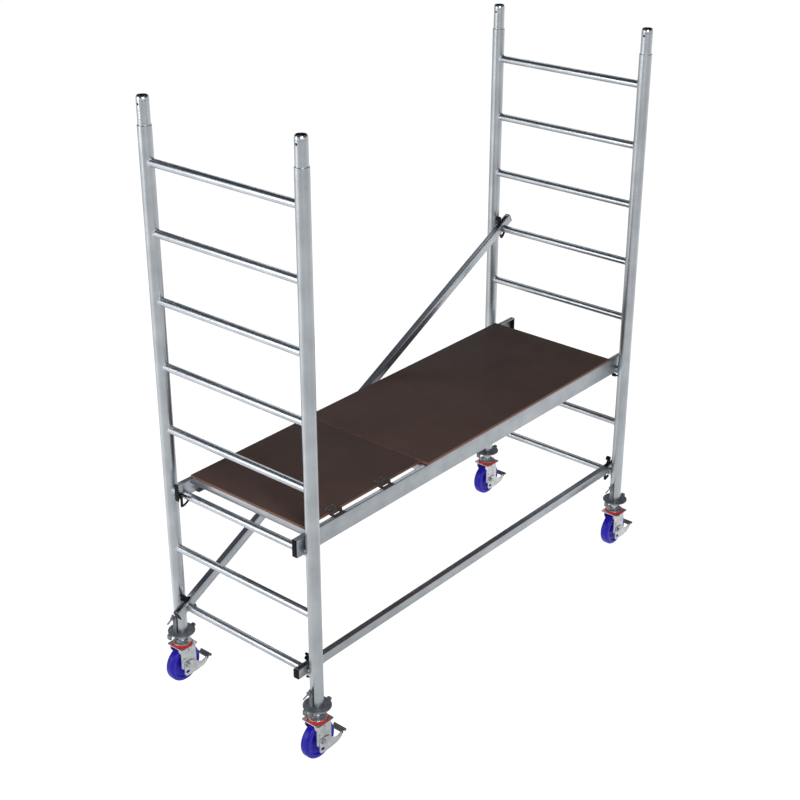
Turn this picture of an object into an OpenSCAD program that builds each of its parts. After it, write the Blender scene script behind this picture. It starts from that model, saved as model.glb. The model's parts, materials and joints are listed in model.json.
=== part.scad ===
// Section of a mobile aluminium frame scaffold on four height-adjustable castors.
// Frame: X along the bay, Y across it, Z up. The floor is z = 0.

/* [Frames] */
// Distance between the two ladder frames, post centre to post centre
bay_length = 1950; // [1500:10:2600]
// Width of a ladder frame, post centre to post centre
frame_width = 720; // [700:10:1200]
// Outer diameter of a post
post_d = 50; // [46:1:56]
// Wall of a post
post_wall = 2.5; // [2:0.1:4]
// Number of rungs in one frame
rung_count = 8; // [7:1:9]
// Spacing of the rungs
rung_pitch = 250; // [230:1:300]
// Outer diameter of a rung
rung_d = 30; // [26:1:34]
// Wall of a rung
rung_wall = 2; // [1.5:0.1:3]
// Length of post below the bottom rung, and above the top one
post_overhang = 125; // [110:1:150]
// Visible height of a stacking spigot
spigot_height = 100; // [80:1:150]
// Length of spigot held inside the post
spigot_grip = 120; // [80:1:200]
// Radial gap between a spigot and the next post that goes over it
spigot_gap = 0.25; // [0.1:0.05:0.4]

/* [Platform] */
// Rung that carries the platform, counted from the bottom
platform_rung = 3; // [2:1:4]
// Height of a side rail
rail_height = 70; // [60:1:80]
// Width of a side rail
rail_width = 20; // [16:1:26]
// Wall of a side rail
rail_wall = 3; // [2:0.5:4]
// Length of rail past the rung centre
rail_overrun = 47; // [40:1:60]
// Depth of rail below the rung centre
rail_drop = 5; // [2:1:8]
// Gap between the near rail and the near posts
near_rail_gap = 5; // [3:1:10]
// Space kept between the far rail and the far posts
far_rail_gap = 53; // [45:1:70]
// Thickness of the deck boards
board_thickness = 10; // [8:1:16]
// Length of the hatch board
hatch_length = 625; // [450:5:700]
// Gap between the hatch and the near rail
hatch_gap = 15; // [12:1:25]
// Distance from a post to the end of the boards at the hatch end
hatch_end_gap = 25; // [20:1:60]
// Distance from a post to the end of the boards at the deck end
deck_end_gap = 70; // [20:1:120]

/* [Braces] */
// Width of the strut and the diagonal
bar_width = 25; // [20:1:30]
// Height of the strut and the diagonal
bar_height = 36; // [34:1:45]
// Wall of the strut and the diagonal
bar_wall = 2; // [1.5:0.5:3]
// Length of bar past the rung centre
bar_overrun = 55; // [48:1:70]
// Rungs that the diagonal climbs
brace_climb = 4; // [3:1:5]

/* [Castors] */
// Wheel diameter
wheel_d = 150; // [125:1:160]
// Wheel width
wheel_width = 38; // [30:1:44]
// Offset of the axle behind the swivel axis
wheel_trail = 4; // [0:1:20]
// Side of the square fork crown
crown_side = 85; // [80:1:100]
// Height of the underside of the posts above the floor
leg_height = 226; // [222:1:240]
// Outer diameter of the threaded spindle
spindle_d = 34; // [28:1:38]
// Travel of the spindle out of the post
spindle_travel = 120; // [60:5:150]
// Diameter of the spindle nut
nut_d = 106; // [90:1:115]

/* [Hidden] */
$fn = 48;
seat_gap = 0.3;      // clearance where a claw or a flange rests on a part of the frame
turn_gap = 0.05;     // radial clearance of a pin or axle that turns
side_gap = 0.5;      // side clearance of a turning part
slide_gap = 0.5;     // radial clearance of the spindle in the post

both_sides = [-1, 1];

// posts and rungs
post_r = post_d / 2;
post_bore_r = post_r - post_wall;
bottom_rung_z = leg_height + post_overhang;
post_bottom_z = leg_height;
function rung_z(n) = bottom_rung_z + (n - 1) * rung_pitch;
top_rung_z = rung_z(rung_count);
post_top_z = top_rung_z + post_overhang;
rung_r = rung_d / 2;
spigot_r = post_bore_r - spigot_gap;
spigot_wall = 2.5;
spigot_hole_r = 4.5;
spigot_hole_drop = 27;
lock_hole_r = 4.2;
lock_hole_rise = 70;

// the bay is set so that the whole section is centred on the origin: at one end the
// brake pedals reach furthest from the posts, and at the other the wheels do
pedal_reach = 122;
wheel_reach = wheel_trail + wheel_d / 2;
bay_shift = -(pedal_reach - wheel_reach) / 2;
module in_bay() translate([bay_shift, 0, 0]) children();
function post_x(side) = side * bay_length / 2;
function post_y(side) = side * frame_width / 2;

// platform
platform_z = rung_z(platform_rung);
rail_z = platform_z - rail_drop;
rail_top_z = rail_z + rail_height;
near_face_y = post_y(-1) + post_r + near_rail_gap;
far_face_y = post_y(1) - post_r - far_rail_gap;
rail_half = bay_length / 2 + rail_overrun;
cap_thickness = 4;
board_left_x = post_x(-1) + hatch_end_gap;
board_right_x = post_x(1) - deck_end_gap;
board_seam = 5;
hatch_right_x = board_left_x + hatch_length;
hatch_near_y = near_face_y + rail_width + hatch_gap;
hatch_far_gap = 7;
hatch_far_y = far_face_y - hatch_far_gap;
deck_left_x = hatch_right_x + board_seam;
cross_width = 30;
cross_height = 26;
cross_wall = 2;
middle_cross_x = (deck_left_x + board_right_x) / 2;
seam_cross_x = hatch_right_x + board_seam / 2;
cross_centres = [board_left_x + cross_width / 2, seam_cross_x, middle_cross_x,
                 board_right_x - cross_width / 2];

// hatch hinges
hinge_leaf = 2;
hinge_pin_r = 2.5;
knuckle_r = (board_thickness + hinge_leaf) / 2;
hinge_length = 57;
hinge_inset = 125;
leaf_margin = 2;
outer_knuckle = 14;
middle_knuckle = hinge_length - 2 * outer_knuckle - 2 * side_gap;
hinge_y = near_face_y + rail_width + hatch_gap / 2;
hinge_z = rail_top_z + knuckle_r;
leaf_reach = 38;
hinge_xs = [board_left_x + hinge_inset + hinge_length / 2,
            hatch_right_x - hinge_inset - hinge_length - hinge_length / 2];

// windlocks under the rungs
windlock_pivot = [25, 10];   // outboard of and above the rung centre
windlock_thickness = 5;
windlock_y_gap = 0.5;
hook_gap = 0.6;              // clearance of a hook under its rung
windlock_inner_r = norm(windlock_pivot) + rung_r + hook_gap;
windlock_outer_r = windlock_inner_r + 7.5;
windlock_eye_r = 9;
windlock_arm_angle = -90;
windlock_tip_angle = -142;
pivot_pin_r = 3;

// strut and diagonal
bar_drop = 3;
bar_half_width = bar_width / 2;
strut_rail_gap = 2;          // the strut stands below the near rail, inside its face
brace_rail_gap = 15;         // the diagonal stands between the far rail and the posts
strut_y = near_face_y + strut_rail_gap + bar_half_width;
brace_y = far_face_y + brace_rail_gap + bar_half_width;
brace_rise = brace_climb * rung_pitch;
brace_span = sqrt(pow(bay_length, 2) + pow(brace_rise, 2));
brace_angle = atan(brace_rise / bay_length);
trigger_pivot = [28, 16];    // inboard of and above the rung centre
trigger_thickness = 8;
trigger_inner_r = norm(trigger_pivot) + rung_r + hook_gap;
trigger_outer_r = trigger_inner_r + 7;
trigger_eye_r = 8;
trigger_arm_angle = -84;
trigger_tip_angle = -52;
trigger_finger = 58;
trigger_slot = trigger_thickness + 2;
top_slot_reach = 46;         // length of the top slot outboard of the rung
top_slot_margin = 4;
bottom_slot_length = 34;
knob_inset = 80;
knob_r = 8;
knob_height = 7;

// castors
wheel_r = wheel_d / 2;
axle_r = 6;
spacer_wall = 3;             // tube on the axle that the wheel turns on
bolt_head_r = 10;
bolt_head_height = 7;
hub_r = 22;
hub_half = wheel_width / 2 + 3;
leg_gap = hub_half + 1;      // inner face of a fork leg, from the middle
leg_wall = 3;
crown_wall = 4;
crown_rise = 13;
crown_z = wheel_d + crown_rise;   // top face of the fork crown
ring_r = 39.5;
ring_height = 4;
head_r = 34;
head_height = 8;
head_z = crown_z + ring_height;
kingpin_r = 8;
kingpin_head_r = 13;
kingpin_head_height = 5.5;
kingpin_head_drop = 6;       // from the crown's underside to the head's underside
ring_hole_r = 14;
spindle_r = spindle_d / 2;
spindle_wall = 5;
spindle_foot = 40;           // solid length above the head plate
spindle_held = 90;           // length left inside the post at full travel
thread_pitch = 8;
thread_depth = 1.5;
thread_start = 10;           // plain lengths below and above the thread
thread_end = 6;
spindle_top_z = post_bottom_z + spindle_travel + spindle_held;
nut_thickness = 6;
retainer_thickness = 2;
nut_z = post_bottom_z - retainer_thickness - nut_thickness;
nut_r = nut_d / 2;
boss_wall = 7;
boss_height = 12;
lug_width = 18;
raised_lug = [10, 6, 4];     // length, rise and overlap with the disc
lowered_lug = [12, 16, 5];   // length, drop and overlap with the disc
tab_x = post_r + 9;
tab_width = 16;
tab_wall = 2;
tab_margin = 10;             // tab above the wing screw's hole
retainer_margin = 2;
wing_stem_r = 3;
lock_z = post_bottom_z + lock_hole_rise;
lever_wall = 3;
lever_gap = 0.5;             // between a fork leg and a brake arm
lever_bolt_gap = 1;          // between a brake arm's far face and the bolt head's side
pedal_depth = 24;
pedal_height = 16;
pedal_drop = 28;             // underside of the pedal below the axle

CASTORS = ["near_left", "far_left", "near_right", "far_right"];
PARTS = ["spindle", "spindle_nut", "wing_screw", "seal_ring", "fork", "axle", "wheel",
         "brake_lever"];

// ---------------------------------------------------------------- ladder frames

module post(x_side, y_side) {
    color("silver")
        in_bay()
            translate([post_x(x_side), post_y(y_side), 0])
                difference() {
                    translate([0, 0, post_bottom_z])
                        cylinder(r = post_r, h = post_top_z - post_bottom_z);
                    translate([0, 0, post_bottom_z - 1])
                        cylinder(r = post_bore_r, h = post_top_z - post_bottom_z + 2);
                    translate([0, 0, lock_z])
                        rotate([0, -90, 0])
                            cylinder(r = lock_hole_r, h = post_d);
                }
}

module on_posts()
    for (x_side = both_sides, y_side = both_sides)
        translate([post_x(x_side), post_y(y_side), 0])
            children();

module spigots() {
    color("gainsboro")
        in_bay()
            on_posts()
                difference() {
                    union() {
                        translate([0, 0, post_top_z - spigot_grip])
                            cylinder(r = post_bore_r, h = spigot_grip);
                        translate([0, 0, post_top_z])
                            cylinder(r = spigot_r, h = spigot_height);
                    }
                    translate([0, 0, post_top_z - spigot_grip - 1])
                        cylinder(r = spigot_r - spigot_wall,
                                 h = spigot_grip + spigot_height + 2);
                    translate([-post_d, 0, post_top_z + spigot_height - spigot_hole_drop])
                        rotate([0, 90, 0])
                            cylinder(r = spigot_hole_r, h = 2 * post_d);
                }
}

// Plastic ring that lines the open mouth of a spigot
module spigot_rims() {
    rim_depth = 10;
    rim_wall = 2;
    rim_r = spigot_r - spigot_wall;
    color("#222222")
        in_bay()
            on_posts()
                translate([0, 0, post_top_z + spigot_height - rim_depth])
                    difference() {
                        cylinder(r = rim_r, h = rim_depth);
                        translate([0, 0, -1])
                            cylinder(r = rim_r - rim_wall, h = rim_depth + 2);
                    }
}

// One rung, its ends shaped to the posts that they are welded to
module rung() {
    difference() {
        rotate([90, 0, 0])
            cylinder(r = rung_r, h = frame_width, center = true);
        rotate([90, 0, 0])
            cylinder(r = rung_r - rung_wall, h = frame_width + 2, center = true);
        for (y_side = both_sides)
            translate([0, post_y(y_side), 0])
                cylinder(r = post_r, h = 3 * rung_d, center = true);
    }
}

module rungs() {
    color("silver")
        in_bay()
            for (x_side = both_sides, n = [1 : rung_count])
                translate([post_x(x_side), 0, rung_z(n)])
                    rung();
}

// ---------------------------------------------------------------- platform

// C-section rail with its back at y = 0 and its flanges towards +Y
module rail() {
    difference() {
        translate([-rail_half, 0, 0])
            cube([2 * rail_half, rail_width, rail_height]);
        translate([-rail_half - 1, rail_wall, rail_wall])
            cube([2 * rail_half + 2, rail_width, rail_height - 2 * rail_wall]);
        for (side = both_sides)
            translate([post_x(side), 0, 0]) {
                translate([-rail_overrun - 1, rail_wall, -1])
                    cube([2 * (rail_overrun + 1), rail_width, rail_wall + 2]);
                translate([0, -1, rail_drop])
                    rotate([-90, 0, 0])
                        cylinder(r = rung_r + seat_gap, h = rail_width + 2);
                translate([-rung_r - seat_gap, -1, -1])
                    cube([2 * (rung_r + seat_gap), rail_width + 2, rail_drop + 1]);
            }
    }
}

module near_rail() {
    color("silver")
        in_bay()
            translate([0, near_face_y, rail_z])
                rail();
}

module far_rail() {
    color("silver")
        in_bay()
            translate([0, far_face_y, rail_z])
                mirror([0, 1, 0])
                    rail();
}

// Box tubes between the rails, coped under the top flanges
module cross_members() {
    near_y = near_face_y + rail_wall;
    far_y = far_face_y - rail_wall;
    color("silver")
        in_bay()
            for (x = cross_centres)
                translate([x - cross_width / 2, 0, rail_top_z - cross_height])
                    difference() {
                        translate([0, near_y, 0])
                            cube([cross_width, far_y - near_y, cross_height]);
                        translate([cross_wall, near_y - 1, cross_wall])
                            cube([cross_width - 2 * cross_wall, far_y - near_y + 2,
                                  cross_height - 2 * cross_wall]);
                        for (y = [near_face_y, far_face_y - rail_width])
                            translate([-1, y - seat_gap, cross_height - rail_wall])
                                cube([cross_width + 2, rail_width + 2 * seat_gap,
                                      rail_wall + 1]);
                    }
}

module main_deck() {
    color("#44382f")
        in_bay()
            translate([deck_left_x, near_face_y, rail_top_z])
                cube([board_right_x - deck_left_x, far_face_y - near_face_y,
                      board_thickness]);
}

module hatch_board() {
    color("#44382f")
        in_bay()
            translate([board_left_x, hatch_near_y, rail_top_z])
                cube([hatch_length, hatch_far_y - hatch_near_y, board_thickness]);
}

module knuckle(length) {
    rotate([0, 90, 0])
        difference() {
            cylinder(r = knuckle_r, h = length);
            translate([0, 0, -1])
                cylinder(r = hinge_pin_r + turn_gap, h = length + 2);
        }
}

module on_hinges()
    for (x = hinge_xs)
        translate([x - hinge_length / 2, hinge_y, hinge_z])
            children();

module hinge_fixed_leaves() {
    flange_reach = hinge_y - near_face_y - leaf_margin;
    color("dimgray")
        in_bay()
            on_hinges() {
                for (x = [0, hinge_length - outer_knuckle])
                    translate([x, 0, 0]) {
                        knuckle(outer_knuckle);
                        translate([0, -flange_reach, -knuckle_r])
                            difference() {
                                cube([outer_knuckle, flange_reach, hinge_leaf]);
                                translate([-1, flange_reach, knuckle_r])
                                    rotate([0, 90, 0])
                                        cylinder(r = knuckle_r - 1, h = hinge_length);
                            }
                    }
                translate([0, -flange_reach, -knuckle_r])
                    cube([hinge_length, flange_reach - knuckle_r - leaf_margin,
                          hinge_leaf]);
            }
}

module hinge_moving_leaves() {
    color("dimgray")
        in_bay()
            on_hinges() {
                translate([outer_knuckle + side_gap, 0, 0]) {
                    knuckle(middle_knuckle);
                    translate([0, 0, knuckle_r - hinge_leaf])
                        difference() {
                            cube([middle_knuckle, leaf_reach, hinge_leaf]);
                            translate([-1, 0, hinge_leaf - knuckle_r])
                                rotate([0, 90, 0])
                                    cylinder(r = knuckle_r - 1, h = hinge_length);
                        }
                }
                translate([0, knuckle_r + leaf_margin, knuckle_r - hinge_leaf])
                    cube([hinge_length, leaf_reach - knuckle_r - leaf_margin, hinge_leaf]);
            }
}

module hinge_pins() {
    pin_overhang = 1.5;
    color("gray")
        in_bay()
            on_hinges()
                translate([-pin_overhang, 0, 0])
                    rotate([0, 90, 0])
                        cylinder(r = hinge_pin_r, h = hinge_length + 2 * pin_overhang);
}

module rail_end_caps() {
    cap_drop = 3;
    color("#222222")
        in_bay()
            for (side = both_sides, y = [near_face_y, far_face_y - rail_width])
                translate([side > 0 ? rail_half : -rail_half - cap_thickness, y,
                           rail_z + cap_drop])
                    cube([cap_thickness, rail_width, rail_height - cap_drop]);
}

// Hook that swings under a rung, drawn for the +X end; its pivot is the origin
module hook(thickness, inner_r, outer_r, eye_r, arm_angle, tip_angle) {
    arm_half = 5;
    arm_overlap = 2;
    rotate([90, 0, 0])
        linear_extrude(height = thickness, center = true)
            difference() {
                union() {
                    circle(r = eye_r);
                    rotate(arm_angle)
                        translate([0, -arm_half])
                            square([outer_r - arm_overlap, 2 * arm_half]);
                    intersection() {
                        difference() {
                            circle(r = outer_r);
                            circle(r = inner_r);
                        }
                        polygon([[0, 0],
                                 2 * outer_r * [cos(arm_angle), sin(arm_angle)],
                                 2 * outer_r * [cos((arm_angle + tip_angle) / 2),
                                                sin((arm_angle + tip_angle) / 2)],
                                 2 * outer_r * [cos(tip_angle), sin(tip_angle)]]);
                    }
                }
                circle(r = pivot_pin_r + turn_gap);
            }
}

module windlock() {
    hook(windlock_thickness, windlock_inner_r, windlock_outer_r, windlock_eye_r,
         windlock_arm_angle, windlock_tip_angle);
}

module right_windlock() {
    color("#222222")
        in_bay()
            translate([post_x(1) + windlock_pivot[0],
                       near_face_y + rail_wall + windlock_y_gap + windlock_thickness / 2,
                       platform_z + windlock_pivot[1]])
                windlock();
}

module left_windlock() {
    color("#222222")
        in_bay()
            translate([post_x(-1) - windlock_pivot[0],
                       far_face_y - rail_wall - windlock_y_gap - windlock_thickness / 2,
                       platform_z + windlock_pivot[1]])
                mirror([1, 0, 0])
                    windlock();
}

// ---------------------------------------------------------------- strut and diagonal

module strut_place()
    translate([post_x(-1), strut_y, bottom_rung_z])
        children();

module brace_place()
    translate([post_x(-1), brace_y, bottom_rung_z])
        rotate([0, -brace_angle, 0])
            children();

// Everything below is drawn with the left rung at the origin and the bar along +X
module bar_end(span, end)
    translate([end > 0 ? span : 0, 0, 0])
        mirror([end > 0 ? 0 : 1, 0, 0])
            children();

module bar_tube(span) {
    length = span + 2 * bar_overrun;
    claw_r = rung_r + seat_gap;
    top_slot_from = trigger_pivot[0] + top_slot_margin;
    bottom_slot_from = trigger_pivot[0] + bottom_slot_length;
    difference() {
        translate([-bar_overrun, -bar_half_width, -bar_drop])
            cube([length, bar_width, bar_height]);
        translate([-bar_overrun - 1, bar_wall - bar_half_width, bar_wall - bar_drop])
            cube([length + 2, bar_width - 2 * bar_wall, bar_height - 2 * bar_wall]);
        for (end = both_sides)
            bar_end(span, end) {
                rotate([90, 0, 0])
                    cylinder(r = claw_r, h = 2 * bar_width, center = true);
                translate([-claw_r, -bar_width, -2 * claw_r])
                    cube([2 * claw_r, 2 * bar_width, 2 * claw_r]);
                translate([-top_slot_from, -trigger_slot / 2,
                           bar_height - bar_drop - bar_wall - 1])
                    cube([top_slot_from + top_slot_reach, trigger_slot, bar_wall + 2]);
                translate([-bottom_slot_from, -trigger_slot / 2, -bar_drop - 1])
                    cube([bottom_slot_from, trigger_slot, bar_wall + 2]);
            }
    }
}

module strut_tube() {
    color("silver")
        in_bay()
            strut_place()
                bar_tube(bay_length);
}

module brace_tube() {
    color("silver")
        in_bay()
            brace_place()
                bar_tube(brace_span);
}

module bar_caps(span)
    for (end = both_sides)
        bar_end(span, end)
            translate([bar_overrun, -bar_half_width, -bar_drop])
                cube([cap_thickness, bar_width, bar_height]);

module bar_end_caps() {
    color("#222222")
        in_bay() {
            strut_place()
                bar_caps(bay_length);
            brace_place()
                bar_caps(brace_span);
        }
}

// Round screw heads that hold the trigger springs, under the bars
module bar_knob_pair(span)
    for (end = both_sides)
        bar_end(span, end)
            translate([-knob_inset, 0, -bar_drop - knob_height])
                cylinder(r = knob_r, h = knob_height);

module bar_knobs() {
    color("gray")
        in_bay() {
            strut_place()
                bar_knob_pair(bay_length);
            brace_place()
                bar_knob_pair(brace_span);
        }
}

// Lock trigger: a finger above the bar and a hook under the rung
module trigger() {
    finger_angle = 52;
    finger_half = 7;
    translate([-trigger_pivot[0], 0, trigger_pivot[1]])
        union() {
            hook(trigger_thickness, trigger_inner_r, trigger_outer_r, trigger_eye_r,
                 trigger_arm_angle, trigger_tip_angle);
            rotate([90, 0, 0])
                linear_extrude(height = trigger_thickness, center = true)
                    difference() {
                        rotate(finger_angle)
                            union() {
                                translate([0, -finger_half])
                                    square([trigger_finger - finger_half, 2 * finger_half]);
                                translate([trigger_finger - finger_half, 0])
                                    circle(r = finger_half);
                            }
                        circle(r = pivot_pin_r + turn_gap);
                    }
        }
}

module strut_trigger(end) {
    color("#222222")
        in_bay()
            strut_place()
                bar_end(bay_length, end)
                    trigger();
}

module brace_trigger(end) {
    color("#222222")
        in_bay()
            brace_place()
                bar_end(brace_span, end)
                    trigger();
}

module bar_pin_pair(span)
    for (end = both_sides)
        bar_end(span, end)
            translate([-trigger_pivot[0], 0, trigger_pivot[1]])
                rotate([90, 0, 0])
                    cylinder(r = pivot_pin_r, h = bar_width - 2 * bar_wall, center = true);

// Pins of the lock triggers and of the windlocks
module pivot_pins() {
    pin_end = 3;
    windlock_pin = windlock_thickness + windlock_y_gap + pin_end;
    color("gray")
        in_bay() {
            strut_place()
                bar_pin_pair(bay_length);
            brace_place()
                bar_pin_pair(brace_span);
            translate([post_x(1) + windlock_pivot[0], near_face_y + rail_wall,
                       platform_z + windlock_pivot[1]])
                rotate([-90, 0, 0])
                    cylinder(r = pivot_pin_r, h = windlock_pin);
            translate([post_x(-1) - windlock_pivot[0], far_face_y - rail_wall,
                       platform_z + windlock_pivot[1]])
                rotate([90, 0, 0])
                    cylinder(r = pivot_pin_r, h = windlock_pin);
        }
}

// ---------------------------------------------------------------- castors

module at_castor(c)
    in_bay()
        translate([post_x(c == "near_left" || c == "far_left" ? -1 : 1),
                   post_y(c == "near_left" || c == "near_right" ? -1 : 1), 0])
            children();

// Flanges under the posts, each with an upright tab for the wing screw
module nut_retainers() {
    color("dimgray")
        in_bay()
            on_posts()
                difference() {
                    union() {
                        translate([0, 0, post_bottom_z - retainer_thickness])
                            cylinder(r = post_r + retainer_margin, h = retainer_thickness);
                        translate([-tab_x, -tab_width / 2,
                                   post_bottom_z - retainer_thickness])
                            cube([tab_x, tab_width, retainer_thickness]);
                        translate([-tab_x, -tab_width / 2,
                                   post_bottom_z - retainer_thickness])
                            cube([tab_wall, tab_width, lock_hole_rise + tab_margin]);
                    }
                    translate([0, 0, post_bottom_z - retainer_thickness - 1])
                        cylinder(r = spindle_r + slide_gap, h = retainer_thickness + 2);
                    translate([-tab_x - 1, 0, lock_z])
                        rotate([0, 90, 0])
                            cylinder(r = wing_stem_r + turn_gap, h = tab_wall + 2);
                }
}

// Spindle with its flat head plate; the thread is a row of rings
module spindle() {
    thread_from = head_z + head_height + thread_start;
    ring_count = floor((spindle_top_z - thread_end - thread_from) / thread_pitch);
    crown_underside_z = crown_z - crown_wall;
    pin_overlap = 3;
    color("lightgray")
        difference() {
            union() {
                translate([0, 0, head_z])
                    cylinder(r = head_r, h = head_height);
                translate([0, 0, head_z])
                    cylinder(r = spindle_r - thread_depth, h = spindle_top_z - head_z);
                translate([0, 0, head_z])
                    cylinder(r = spindle_r, h = thread_from - head_z);
                for (i = [0 : ring_count - 1])
                    translate([0, 0, thread_from + i * thread_pitch + thread_pitch / 2])
                        cylinder(r = spindle_r, h = thread_pitch / 2);
                translate([0, 0, crown_underside_z - pin_overlap])
                    cylinder(r = kingpin_r,
                             h = head_z - crown_underside_z + pin_overlap + 1);
                translate([0, 0, crown_underside_z - kingpin_head_drop])
                    cylinder(r = kingpin_head_r, h = kingpin_head_height);
            }
            translate([0, 0, head_z + spindle_foot])
                cylinder(r = spindle_r - spindle_wall, h = spindle_top_z);
        }
}

// Disc nut that carries the post, with one lug turned up and one turned down
module spindle_nut() {
    color("#55606a")
        difference() {
            union() {
                translate([0, 0, nut_z])
                    cylinder(r = nut_r, h = nut_thickness);
                translate([0, 0, nut_z - boss_height])
                    cylinder(r = spindle_r + boss_wall, h = boss_height + 1);
                translate([nut_r - raised_lug[2], -lug_width, nut_z])
                    cube([raised_lug[0], lug_width, nut_thickness + raised_lug[1]]);
                translate([-nut_r + lowered_lug[2] - lowered_lug[0], 0,
                           nut_z - lowered_lug[1]])
                    cube([lowered_lug[0], lug_width, lowered_lug[1] + nut_thickness]);
            }
            translate([0, 0, nut_z - boss_height - 1])
                cylinder(r = spindle_r + turn_gap, h = boss_height + nut_thickness + 2);
        }
}

// Wing screw: a stem through the tab and the post's wall, a collar and two swept wings
module wing_screw() {
    collar_from = tab_x + 3;
    collar_length = 11;
    collar_r = 7;
    stem_from = tab_x + 12;
    stem_to = spindle_r + 3;
    wing_x = tab_x + 8;
    wing_root = [8, 5, 6];
    wing_tilt = 30;
    wing_span = 30;
    wing_out = 10;
    lobe_r = 5;
    color("#55606a")
        translate([0, 0, lock_z])
            rotate([wing_tilt, 0, 0])
                union() {
                    translate([-stem_from, 0, 0])
                        rotate([0, 90, 0])
                            cylinder(r = wing_stem_r, h = stem_from - stem_to);
                    translate([-collar_from - collar_length, 0, 0])
                        rotate([0, 90, 0])
                            cylinder(r = collar_r, h = collar_length);
                    for (side = both_sides)
                        rotate([side > 0 ? 0 : 180, 0, 0])
                            hull() {
                                translate([-wing_x, 0, wing_root[2] / 2])
                                    cube(wing_root, center = true);
                                translate([-wing_x - wing_out, 0, wing_span - lobe_r + 1])
                                    rotate([90, 0, 0])
                                        cylinder(r = lobe_r, h = wing_root[1],
                                                 center = true, $fn = 24);
                            }
                }
}

module seal_ring() {
    color("red")
        translate([0, 0, crown_z])
            difference() {
                cylinder(r = ring_r, h = ring_height);
                translate([0, 0, -1])
                    cylinder(r = ring_hole_r, h = ring_height + 2);
            }
}

// Outline of a fork leg in the XZ plane, as [x, z]
leg_foot_half = 16;
leg_foot_drop = 20;          // below the axle
leg_back_drop = 12;
leg_front = 26;              // in front of the axle
leg_front_drop = 10;
leg_shoulder = 34;           // below the crown
lip_depth = 3;               // stiffening lip along the front edge of each leg
sight_hole = [28, 2, 5];     // x, rise above the axle and radius

function leg_outline() = let (side = crown_side / 2) [
    [-side, crown_z - 1],
    [side, crown_z - 1],
    [side, wheel_r - leg_back_drop],
    [leg_foot_half - wheel_trail, wheel_r - leg_foot_drop],
    [-leg_foot_half - wheel_trail, wheel_r - leg_foot_drop],
    [-leg_front - wheel_trail, wheel_r - leg_front_drop],
    [-leg_front - wheel_trail, crown_z - leg_shoulder]];

module fork() {
    lip_height = crown_z - leg_shoulder - wheel_r + leg_front_drop;
    color("gainsboro")
        difference() {
            union() {
                translate([-crown_side / 2, -crown_side / 2, crown_z - crown_wall])
                    cube([crown_side, crown_side, crown_wall]);
                for (side = both_sides) {
                    translate([0, side > 0 ? leg_gap + leg_wall : -leg_gap, 0])
                        rotate([90, 0, 0])
                            linear_extrude(height = leg_wall)
                                polygon(leg_outline());
                    translate([-leg_front - wheel_trail - leg_wall,
                               side > 0 ? leg_gap - lip_depth : -leg_gap - leg_wall,
                               wheel_r - leg_front_drop])
                        cube([leg_wall + 1, lip_depth + leg_wall, lip_height]);
                }
            }
            translate([-wheel_trail, 0, wheel_r])
                rotate([90, 0, 0])
                    cylinder(r = axle_r, h = 4 * leg_gap, center = true);
            translate([0, 0, crown_z - crown_wall - 1])
                cylinder(r = kingpin_r + turn_gap, h = crown_wall + 2);
            translate([sight_hole[0], 0, wheel_r + sight_hole[1]])
                rotate([90, 0, 0])
                    cylinder(r = sight_hole[2], h = 4 * leg_gap, center = true);
        }
}

// Axle bolt, its nut and the spacer tube that the wheel turns on
module axle() {
    head_from = leg_gap + leg_wall + lever_wall + lever_bolt_gap;
    color("gray")
        translate([-wheel_trail, 0, wheel_r])
            rotate([90, 0, 0]) {
                cylinder(r = axle_r, h = 2 * (head_from + bolt_head_height), center = true);
                for (side = both_sides)
                    translate([0, 0, side * (head_from + bolt_head_height / 2)])
                        cylinder(r = bolt_head_r, h = bolt_head_height, center = true,
                                 $fn = 6);
                difference() {
                    cylinder(r = axle_r + spacer_wall, h = 2 * leg_gap, center = true);
                    cylinder(r = axle_r - 1, h = 2 * leg_gap + 2, center = true);
                }
            }
}

// Wheel with a rounded tread, a web that is thinner than the rim and a hub
module wheel() {
    half = wheel_width / 2;
    bore = axle_r + spacer_wall + turn_gap;
    web_r = wheel_r - 24;
    rim_r = wheel_r - 18;
    side_r = wheel_r - 6;
    shoulder_r = wheel_r - 2;
    web_in = 7;
    shoulder_in = 4;
    tread_in = 11;
    color("#2a10c8")
        translate([-wheel_trail, 0, wheel_r])
            rotate([90, 0, 0])
                rotate_extrude($fn = 72)
                    polygon([
                        [bore, -hub_half],
                        [hub_r, -hub_half],
                        [hub_r, -half + web_in],
                        [web_r, -half + web_in],
                        [rim_r, -half],
                        [side_r, -half],
                        [shoulder_r, -half + shoulder_in],
                        [wheel_r, -half + tread_in],
                        [wheel_r, half - tread_in],
                        [shoulder_r, half - shoulder_in],
                        [side_r, half],
                        [rim_r, half],
                        [web_r, half - web_in],
                        [hub_r, half - web_in],
                        [hub_r, hub_half],
                        [bore, hub_half]]);
}

// Outline of a brake arm about the axle, as [x, z]
function arm_outline() = [
    [-20, -38], [-12, -48], [8, -50], [42, -47], [78, -44], [98, -34], [108, -18],
    [92, -12], [80, -24], [64, -28], [48, -20], [30, 2], [14, 14], [-12, 14], [-18, 0]];

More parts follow.
